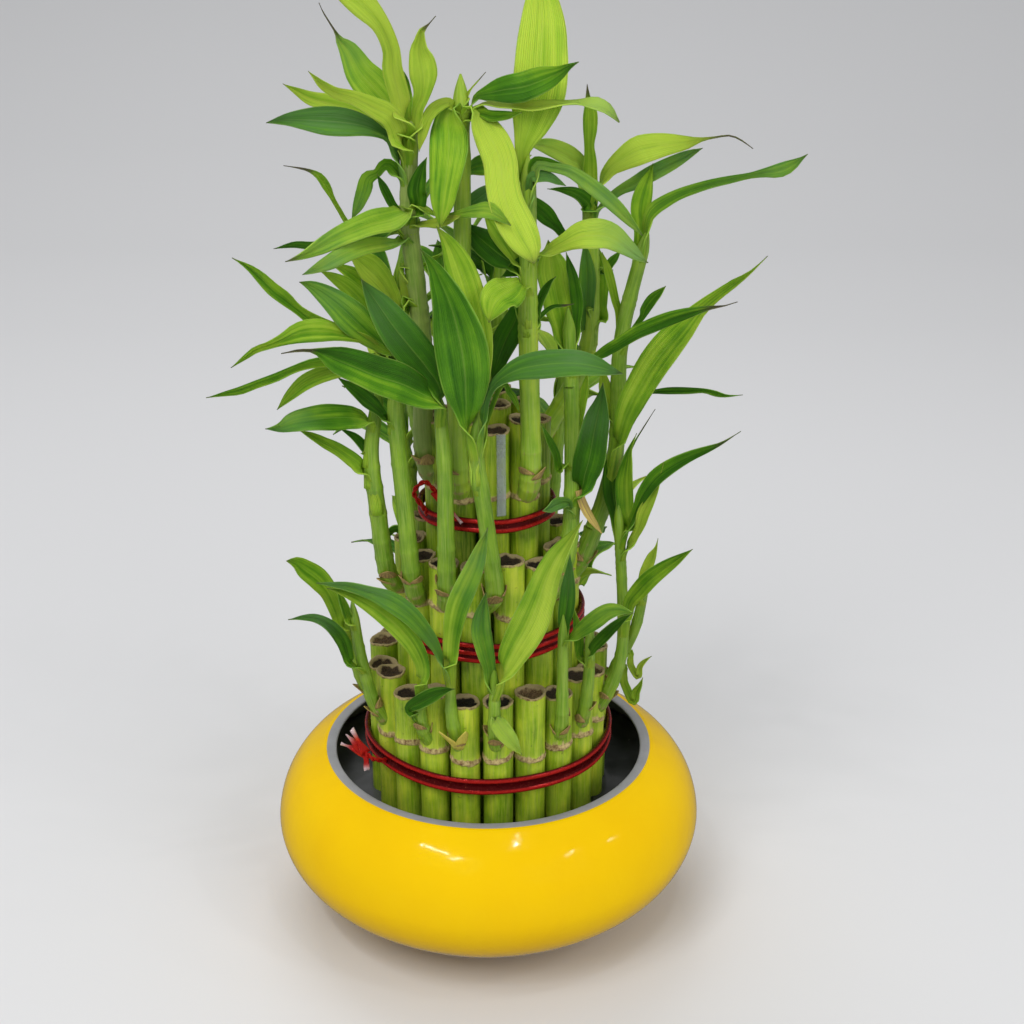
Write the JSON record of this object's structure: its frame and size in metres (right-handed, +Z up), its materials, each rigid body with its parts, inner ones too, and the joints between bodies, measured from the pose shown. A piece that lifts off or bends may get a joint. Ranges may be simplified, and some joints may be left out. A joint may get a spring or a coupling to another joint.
{
  "type": "potted lucky bamboo",
  "caption": "Lucky bamboo: a tiered bundle of cut green canes with leafy shoots, held by red foil ties, standing in the water of a round glazed bowl.",
  "frame": {"origin": "centre of the bowl's flat foot, on the surface that it stands on", "axes": "+Z up along the middle cane, -Y towards the front of the plant, +X to its right"},
  "size_m": [0.1795, 0.1524, 0.3182],
  "materials": {
    "glaze": "glossy yellow glaze on ceramic, grey lip and inside",
    "water": "still dark water",
    "plant": "satin green canes, shoots and leaves",
    "wire": "red metallic foil over thin wires",
    "strip": "clear plastic"
  },
  "bodies": {
    "root": {"bowl": "glaze", "water": "water", "tie_lower": "wire", "tie_middle": "wire", "tie_upper": "wire", "plastic_strip": "strip", "cane_lower_01": "plant", "cane_lower_02": "plant", "cane_lower_03": "plant", "cane_lower_04": "plant", "cane_lower_05": "plant", "cane_lower_06": "plant", "cane_lower_07": "plant", "cane_lower_08": "plant", "cane_lower_09": "plant", "cane_lower_10": "plant", "cane_lower_11": "plant", "cane_lower_12": "plant", "cane_lower_13": "plant", "cane_lower_14": "plant", "cane_lower_15": "plant", "cane_lower_16": "plant", "cane_lower_17": "plant", "cane_lower_18": "plant", "cane_lower_19": "plant", "cane_lower_20": "plant", "cane_lower_21": "plant", "cane_middle_01": "plant", "cane_middle_02": "plant", "cane_middle_03": "plant", "cane_middle_04": "plant", "cane_middle_05": "plant", "cane_middle_06": "plant", "cane_middle_07": "plant", "cane_middle_08": "plant", "cane_middle_09": "plant", "cane_middle_10": "plant", "cane_middle_11": "plant", "cane_middle_12": "plant", "cane_middle_13": "plant", "cane_middle_14": "plant", "cane_middle_15": "plant", "cane_upper_01": "plant", "cane_upper_02": "plant", "cane_upper_03": "plant", "cane_upper_04": "plant", "cane_upper_05": "plant", "cane_upper_06": "plant", "cane_upper_07": "plant", "cane_upper_08": "plant", "cane_upper_09": "plant", "cane_upper_10": "plant", "cane_upper_11": "plant", "cane_upper_12": "plant"}
  },
  "joints": []
}
